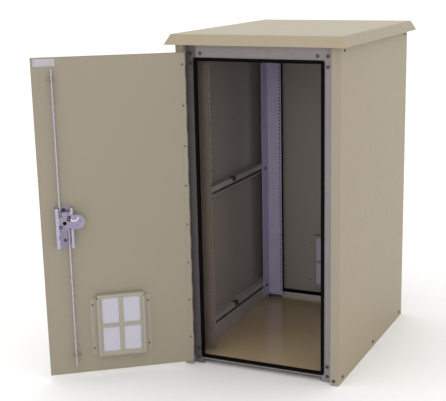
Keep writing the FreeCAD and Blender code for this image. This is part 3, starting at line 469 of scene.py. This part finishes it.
def label_foil():
    """Pale matt foil for the blank label, slightly clouded."""
    s = Surface("label_foil")
    cloud = s.noise(45.0, 4.0, 0.6)
    s.color(s.blend(s.remap(cloud, 0.3, 0.7, 0.0, 1.0), (0.40, 0.375, 0.42), (0.46, 0.435, 0.475)))
    s.rough(s.remap(cloud, 0.3, 0.7, 0.34, 0.5))
    s.relief((s.noise(800.0, 2.0), 0.12, 0.0001),)
    s.fixed(metallic=0.35)
    return s.material


# ---- mesh helpers ----

def piece(name, verts, faces, body, material, node):
    """Makes an object of the mesh, rides it on a body and hides the CAD node it stands for."""
    mesh = bpy.data.meshes.new(name)
    mesh.from_pydata([tuple(v) for v in verts], [], faces)
    mesh.validate()
    mesh.update()
    for polygon in mesh.polygons:
        polygon.use_smooth = True
    mesh.materials.append(material)
    obj = bpy.data.objects.new(name, mesh)
    bpy.context.scene.collection.objects.link(obj)
    clean = bmesh.new()
    clean.from_mesh(mesh)
    bmesh.ops.recalc_face_normals(clean, faces=clean.faces)
    clean.to_mesh(mesh)
    clean.free()
    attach(obj, body)
    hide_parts(node)


WELD_REACH = 0.02 * MM
FLAT_ANGLE = math.radians(0.4)
SHARP_ANGLE = math.radians(32.0)
BEVEL_SEGMENTS = 2
NORMAL_WEIGHT = 60


def soften(node, width):
    """Rounds a CAD node's sharp edges with modifiers, so that bends and cut edges catch light."""
    obj = NODES[node]
    mesh = obj.data
    mesh.polygons.foreach_set("use_smooth", [True] * len(mesh.polygons))
    weld = obj.modifiers.new("weld", "WELD")
    weld.merge_threshold = WELD_REACH
    flat = obj.modifiers.new("flat", "DECIMATE")
    flat.decimate_type = "DISSOLVE"
    flat.angle_limit = FLAT_ANGLE
    bevel = obj.modifiers.new("bevel", "BEVEL")
    bevel.width = width
    bevel.segments = BEVEL_SEGMENTS
    bevel.limit_method = "ANGLE"
    bevel.angle_limit = SHARP_ANGLE
    bevel.use_clamp_overlap = True
    normal = obj.modifiers.new("normal", "WEIGHTED_NORMAL")
    normal.weight = NORMAL_WEIGHT
    normal.keep_sharp = False


def coat(names, material):
    """Gives CAD nodes one material."""
    for name in names:
        materials = NODES[name].data.materials
        materials.clear()
        materials.append(material)


def both(*names):
    """The front and the rear node of each name."""
    return [f"{end}_{name}" for end in ENDS for name in names]


# ---- door seals ----

SEAL_INSIDE = {"front": 3.5 * MM, "rear": 9.0 * MM}  # seal's web inside the frame sheet's edge
SEAL_OUTSIDE = 9.5 * MM
SEAL_LIP = 5.5 * MM
LIP_THICK = 1.5 * MM
SEAL_BACK = 4.0 * MM  # from the lip's back to the frame sheet's face
INNER_CORNER = 2.0 * MM
OUTER_CORNER = 9.0 * MM
SAG = 0.12 * MM  # hand-fitted rubber never lies quite even
SAG_WAVES = 9.0  # per metre
CROWN_EDGE = 0.6 * MM  # the crown starts this far inside the seal's outer side
CROWN_SHOULDER = 0.30  # share of the crown's height at its sides
CROWN_SQUARE = 0.6  # under 1 makes the bulb squarer than a circle
CROWN_ROUND = 0.75  # and makes its top flatter
SEAL_CROWN_STEPS = 14
SEAL_ARC_STEPS = 8
SEAL_RUN_STEPS = 40


def seal_ring(lo, hi, width, outset):
    """One closed ring of (x, z) points, outset from the seal's inner edge."""
    radius = INNER_CORNER + (OUTER_CORNER - INNER_CORNER) * outset / width
    inset = width - outset + radius
    points = []
    for right, upper, start in ((1, 1, 0), (0, 1, 90), (0, 0, 180), (1, 0, 270)):
        x = hi.x - inset if right else lo.x + inset
        z = hi.z - inset if upper else lo.z + inset
        arc = []
        for step in range(SEAL_ARC_STEPS + 1):
            angle = math.radians(start + 90.0 * step / SEAL_ARC_STEPS)
            arc.append((x + radius * math.cos(angle), z + radius * math.sin(angle)))
        if points:
            points += between(points[-1], arc[0])
        points += arc
    return points + between(points[-1], points[0])


def between(first, last):
    """Evenly spaced points between two, both left out."""
    spots = []
    for step in range(1, SEAL_RUN_STEPS):
        share = step / SEAL_RUN_STEPS
        spots.append(tuple(a + (b - a) * share for a, b in zip(first, last)))
    return spots


def seal_section(width, inside, depth):
    """The seal's outline as (outset, forward): a bulb in front of the frame sheet, a web
    inside the sheet's edge and a lip behind it."""
    lip = inside + SEAL_LIP
    outline = [(0.0, 0.0), (lip, 0.0), (lip, LIP_THICK), (inside, LIP_THICK), (inside, SEAL_BACK)]
    outline.append((width - CROWN_EDGE, SEAL_BACK))
    for step in range(SEAL_CROWN_STEPS + 1):
        angle = math.pi * step / SEAL_CROWN_STEPS
        across = math.copysign(abs(math.cos(angle)) ** CROWN_SQUARE, math.cos(angle))
        height = CROWN_SHOULDER + (1.0 - CROWN_SHOULDER) * math.sin(angle) ** CROWN_ROUND
        outline.append((width / 2 * (1 + across), SEAL_BACK + (depth - SEAL_BACK) * height))
    return outline


def door_seal(end):
    """The rubber seal round one door opening, swept round its corners."""
    node = f"{end}_door_seal"
    lo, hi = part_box(node)
    depth = hi.y - lo.y
    back, forward = (hi.y, -1.0) if end == "front" else (lo.y, 1.0)
    inside = SEAL_INSIDE[end]
    width = inside + SEAL_OUTSIDE
    verts, faces = [], []
    section = seal_section(width, inside, depth)
    for outset, rise in section:
        for x, z in seal_ring(lo, hi, width, outset):
            sag = SAG * (noise.noise(Vector((x, 0.0, z)) * SAG_WAVES) - 1.0) if rise > depth / 2 else 0.0
            verts.append((x, back + forward * (rise + sag), z))
    count = len(verts) // len(section)
    for k in range(len(section)):
        after = (k + 1) % len(section)
        for index in range(count):
            following = (index + 1) % count
            faces.append((k * count + index, k * count + following,
                          after * count + following, after * count + index))
    piece(f"{end}_bulb_seal", verts, faces, "cabinet_body", RUBBER, node)


# ---- filter mats ----

MAT_STEP = 3.0 * MM
MAT_LEAST = 8  # fewest steps across a mat
PANE_ROUND = 0.35  # the lower, the squarer a pane's pillow
MAT_BASE = 0.62  # half thickness under the frame's bars, as a share of the room there is
MAT_SWELL = 0.30  # and how much more in the middle of a pane
MAT_TUFT = 0.10  # unevenness of the fibre
TUFT_WAVES = 260.0  # per metre
MAT_RIM = 0.03  # share of the mat's size over which its edge is pinched
MAT_THIN = 0.08  # least half thickness, at the very edge


def filter_mat(end):
    """The fibre mat of one filter: pillowed in each pane, pinched flat under the frame's bars."""
    node = f"{end}_filter_media"
    door_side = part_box(f"{end}_door_skin")
    outside = (door_side[0] + door_side[1]) / 2
    lo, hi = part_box(f"{end}_filter_frame")
    centre, (along, up, normal), (width, height, thick) = local_axes(node, lo + hi - outside)
    columns = max(MAT_LEAST, int(width / MAT_STEP))
    rows = max(MAT_LEAST, int(height / MAT_STEP))
    verts, faces = [], []
    for side in (1.0, -1.0):
        for r in range(rows + 1):
            for c in range(columns + 1):
                u = c / columns
                v = r / rows
                pane = abs(math.sin(math.pi * 2 * u) * math.sin(math.pi * 2 * v)) ** PANE_ROUND
                rim = min(1.0, min(u, v, 1 - u, 1 - v) / MAT_RIM)
                tuft = MAT_TUFT * noise.noise(Vector((u * width, v * height, side)) * TUFT_WAVES)
                swell = (MAT_BASE + MAT_SWELL * pane + tuft * pane) * rim ** 0.5
                offset = side * thick / 2 * min(1.0, max(MAT_THIN, swell))
                verts.append(centre + along * (u - 0.5) * width + up * (v - 0.5) * height + normal * offset)
    stride = columns + 1
    sheet = stride * (rows + 1)
    for base in (0, sheet):
        for r in range(rows):
            for c in range(columns):
                a = base + r * stride + c
                faces.append((a, a + 1, a + 1 + stride, a + stride))
    border = list(range(columns))
    border += [columns + r * stride for r in range(rows)]
    border += [rows * stride + c for c in range(columns, 0, -1)]
    border += [r * stride for r in range(rows, 0, -1)]
    for k, first in enumerate(border):
        second = border[(k + 1) % len(border)]
        faces.append((first, second, second + sheet, first + sheet))
    piece(f"{end}_filter_mat", verts, faces, f"{end}_filter", FELT, node)


# ---- surfaces on the CAD nodes ----

PAINT = powder_coat("tan_powder_coat", TAN)
PAINT_SIDE = powder_coat("tan_powder_coat_side_indoor_light", TAN, inside=TAN_PAINTED_INDOOR_LIGHT, shine=0.3)
PAINT_DOOR = powder_coat("tan_powder_coat_door", TAN_DOOR, 0.46, 0.52)
# painted indoor light on the top panel and the rear door liner
PAINT_INDOOR_LIGHT = powder_coat("tan_powder_coat_indoor_light", TAN_PAINTED_INDOOR_LIGHT, 0.38, 0.5)
PAINT_REAR_INDOOR_LIGHT = powder_coat("tan_powder_coat_rear_door_indoor_light", TAN_REAR_PAINTED_INDOOR_LIGHT, 0.38, 0.5)
FLOOR = floor_enamel()
CHROMATE = metal("frame_chromate", (0.240, 0.212, 0.212), (0.265, 0.236, 0.234), 0.38, 0.54, 0.25)
# painted shade: the hinge post is given a darker chromate for the shade of the open door
HINGE_POST_SHADE = metal("hinge_post_chromate_painted_shade", (0.105, 0.096, 0.096), (0.125, 0.115, 0.114), 0.42, 0.58, 0.15)
REAR_SILL = metal("rear_sill_chromate", (0.55, 0.50, 0.46), (0.61, 0.56, 0.51), 0.38, 0.54, 0.15)
SIDE_RAIL = metal("side_rail_chromate", (0.42, 0.38, 0.37), (0.47, 0.43, 0.42), 0.40, 0.55, 0.15)
FRONT_RAIL = metal("front_rail_chromate", (0.165, 0.130, 0.106), (0.188, 0.149, 0.122), 0.38, 0.52, 0.2)
REAR_RAIL = metal("rear_rail_zinc", (0.50, 0.475, 0.66), (0.57, 0.54, 0.71), 0.34, 0.48, 0.2)
ZINC = metal("fastener_zinc", (0.060, 0.050, 0.050), (0.105, 0.090, 0.090), 0.26, 0.42, 0.6, EVEN, 500.0)
DARK_SCREW = metal("oxide_screw", (0.05, 0.042, 0.042), (0.10, 0.085, 0.085), 0.30, 0.50, 0.6, EVEN, 500.0)
STAINLESS = metal("hinge_stainless", (0.16, 0.145, 0.14), (0.21, 0.19, 0.185), 0.28, 0.42, 0.6)
ROD_PLATE = metal("rod_zinc_plate", (0.42, 0.40, 0.44), (0.48, 0.46, 0.50), 0.24, 0.32, 0.75, EVEN, 60.0)
HANDLE_PLATE = metal("handle_plate_zinc", (0.40, 0.39, 0.42), (0.48, 0.47, 0.50), 0.24, 0.36, 0.8,
                     cells=240.0)
FILTER_PAINT = powder_coat("filter_frame_paint", (0.335, 0.300, 0.238), 0.30, 0.45)
# painted indoor light: the rear filter frame takes a greyer copy of the filter paint
FILTER_PAINT_INDOOR_LIGHT = powder_coat("rear_filter_frame_paint_indoor_light", (0.32, 0.28, 0.262), 0.30, 0.45)
RUBBER = rubber()
FELT = filter_felt()
LABEL = label_foil()

SIDE_PANELS = ["left_side_panel", "right_side_panel"]
SIDE_RAILS = ["left_mid_rail", "right_mid_rail", "left_base_rail", "right_base_rail"]

coat(["roof_canopy"], PAINT)
coat(SIDE_PANELS, PAINT_SIDE)
coat(["front_door_liner"] + both("hinge_door_leaf", "rod_guides"), PAINT_DOOR)
coat(["top_panel"], PAINT_INDOOR_LIGHT)
coat(["rear_door_liner"], PAINT_REAR_INDOOR_LIGHT)
coat(SIDE_RAILS, SIDE_RAIL)
coat(["floor_pan"], FLOOR)
coat(["corner_gussets", "rear_left_upright", "front_sill"] + both("right_upright", "header"), CHROMATE)
coat(["front_left_upright"], HINGE_POST_SHADE)
coat(["rear_sill"], REAR_SILL)
coat(["front_left_rack_rail", "front_right_rack_rail"], FRONT_RAIL)
coat(["rear_left_rack_rail", "rear_right_rack_rail", "floor_channels"], REAR_RAIL)
coat(["frame_screws"] + both("door_fasteners"), ZINC)
coat(["panel_screws", "rail_hardware"], DARK_SCREW)
coat(["hinge_pins"] + both("hinge_frame_leaf"), STAINLESS)
for end in ENDS:
    coat([f"{end}_door_skin"], powder_coat(f"{end}_door_skin_paint", TAN, rim=indoor_face(end)))
    coat([f"{end}_lock_housing"], lock_plate(end, "housing_zinc", HOUSING_DULL, HOUSING_BRIGHT, LIP_HIGHLIGHT))
    coat([f"{end}_latch_cam"], lock_plate(end, "cam_zinc", CAM_DULL, CAM_BRIGHT))
    coat([f"{end}_lever_handle"], cast_metal(end, SATIN))
coat(both("handle_plate"), HANDLE_PLATE)
coat(both("upper_lock_rod", "lower_lock_rod"), ROD_PLATE)
coat(["front_filter_channels", "front_filter_frame"], FILTER_PAINT)
coat(["rear_filter_channels", "rear_filter_frame"], FILTER_PAINT_INDOOR_LIGHT)
coat(["label_plate"], LABEL)

BEND = 0.8 * MM  # rounding of folded sheets
CUT = 0.35 * MM  # and of smaller pieces
for name in ["roof_canopy", "floor_pan", "top_panel"] + SIDE_PANELS:
    soften(name, BEND)
for name in both("door_skin", "door_liner", "header", "sill", "left_upright", "right_upright"):
    soften(name, CUT)
for name in ["floor_channels", "label_plate"] + SIDE_RAILS:
    soften(name, CUT)
for name in both("lock_housing", "latch_cam", "handle_plate", "filter_frame", "filter_channels"):
    soften(name, CUT)

for end in ENDS:
    door_seal(end)
    filter_mat(end)


# ---- stage, light and camera ----

FLOOR_SIZE = 400.0
STAGE_STEPS = 24
SWEEP_DIRECTION = (-0.41, 0.91, 0.0)  # the floor gets paler this way
SWEEP_NEAR = 1.5
SWEEP_FAR = 9.0
FLOOR_NEAR = (0.88, 0.88, 0.87)
FLOOR_FAR = (0.97, 0.97, 0.97)
FLOOR_CLOUD = (0.90, 0.90, 0.90)
HORIZON_LIGHT = 0.92
OVERHEAD_LIGHT = 1.24
OVERHEAD_FROM = 0.8  # sine of the angle above the horizon where the light is at its full strength


def stage_floor():
    """A large pale floor under the cabinet."""
    mesh = bpy.data.meshes.new("studio_floor")
    spots = [FLOOR_SIZE * step / STAGE_STEPS - FLOOR_SIZE / 2 for step in range(STAGE_STEPS + 1)]
    verts = [(x, y, 0.0) for y in spots for x in spots]
    stride = len(spots)
    faces = []
    for r in range(STAGE_STEPS):
        for c in range(STAGE_STEPS):
            a = r * stride + c
            faces.append((a, a + 1, a + stride + 1, a + stride))
    mesh.from_pydata(verts, [], faces)
    s = Surface("studio_floor")
    far = s.remap(s.along(SWEEP_DIRECTION), SWEEP_NEAR, SWEEP_FAR, 0.0, 1.0)
    cloud = s.remap(s.noise(0.6, 2.0), 0.3, 0.7, 0.0, 0.04)
    s.color(s.blend(cloud, s.blend(far, FLOOR_NEAR, FLOOR_FAR), FLOOR_CLOUD))
    s.fixed(roughness=0.8, specular_ior_level=0.2)
    mesh.materials.append(s.material)
    floor = bpy.data.objects.new("studio_floor", mesh)
    bpy.context.scene.collection.objects.link(floor)


def area_light(name, place, target, size, power):
    """A soft white rectangle of light that faces a target."""
    data = bpy.data.lights.new(name, "AREA")
    data.shape = "RECTANGLE"
    data.size, data.size_y = size
    data.energy = power
    light = bpy.data.objects.new(name, data)
    light.location = place
    light.rotation_mode = "QUATERNION"
    light.rotation_quaternion = (Vector(target) - Vector(place)).to_track_quat("-Z", "Y")
    bpy.context.scene.collection.objects.link(light)


def world_light():
    """White light from all sides, a little stronger overhead than at the horizon."""
    world = bpy.data.worlds.new("studio")
    bpy.context.scene.world = world
    world.use_nodes = True
    tree = world.node_tree
    background = tree.nodes["Background"]
    coords = tree.nodes.new("ShaderNodeTexCoord")
    split = tree.nodes.new("ShaderNodeSeparateXYZ")
    ramp = tree.nodes.new("ShaderNodeMapRange")
    ramp.inputs["From Min"].default_value = 0.0
    ramp.inputs["From Max"].default_value = OVERHEAD_FROM
    ramp.inputs["To Min"].default_value = HORIZON_LIGHT
    ramp.inputs["To Max"].default_value = OVERHEAD_LIGHT
    tree.links.new(coords.outputs["Generated"], split.inputs["Vector"])
    tree.links.new(split.outputs["Z"], ramp.inputs["Value"])
    tree.links.new(ramp.outputs["Result"], background.inputs["Strength"])
    background.inputs["Color"].default_value = (1.0, 1.0, 1.0, 1.0)


CAMERA_AT = (1.4497, -3.7710, 1.5484)
CAMERA_YAW = math.radians(24.2453)
CAMERA_PITCH = math.radians(-14.2546)
CAMERA_ROLL = math.radians(-1.0223)
SENSOR = 36.0  # both in mm
LENS = 81.852
SHIFT = (-0.04713, 0.03782)
FAR_CLIP = 100.0


def camera():
    """The camera, turned left of +Y, tipped down and slightly rolled."""
    data = bpy.data.cameras.new("camera")
    data.sensor_width = SENSOR
    data.lens = LENS
    data.shift_x, data.shift_y = SHIFT
    data.clip_end = FAR_CLIP
    obj = bpy.data.objects.new("camera", data)
    turn = Matrix.Rotation(CAMERA_YAW, 4, "Z") @ Matrix.Rotation(math.pi / 2 + CAMERA_PITCH, 4, "X")
    turn = turn @ Matrix.Rotation(CAMERA_ROLL, 4, "Z")
    obj.matrix_world = Matrix.Translation(CAMERA_AT) @ turn
    bpy.context.scene.collection.objects.link(obj)
    bpy.context.scene.camera = obj


stage_floor()
world_light()
area_light("top_soft", place=(-0.8, -0.9, 4.2), target=(0.0, 0.0, 0.6), size=(3.0, 3.0), power=19.0)
area_light("front_soft", place=(0.9, -5.2, 2.3), target=(0.1, 0.0, 0.7), size=(2.2, 1.8), power=21.0)
camera()
bpy.context.scene.view_settings.view_transform = "Standard"
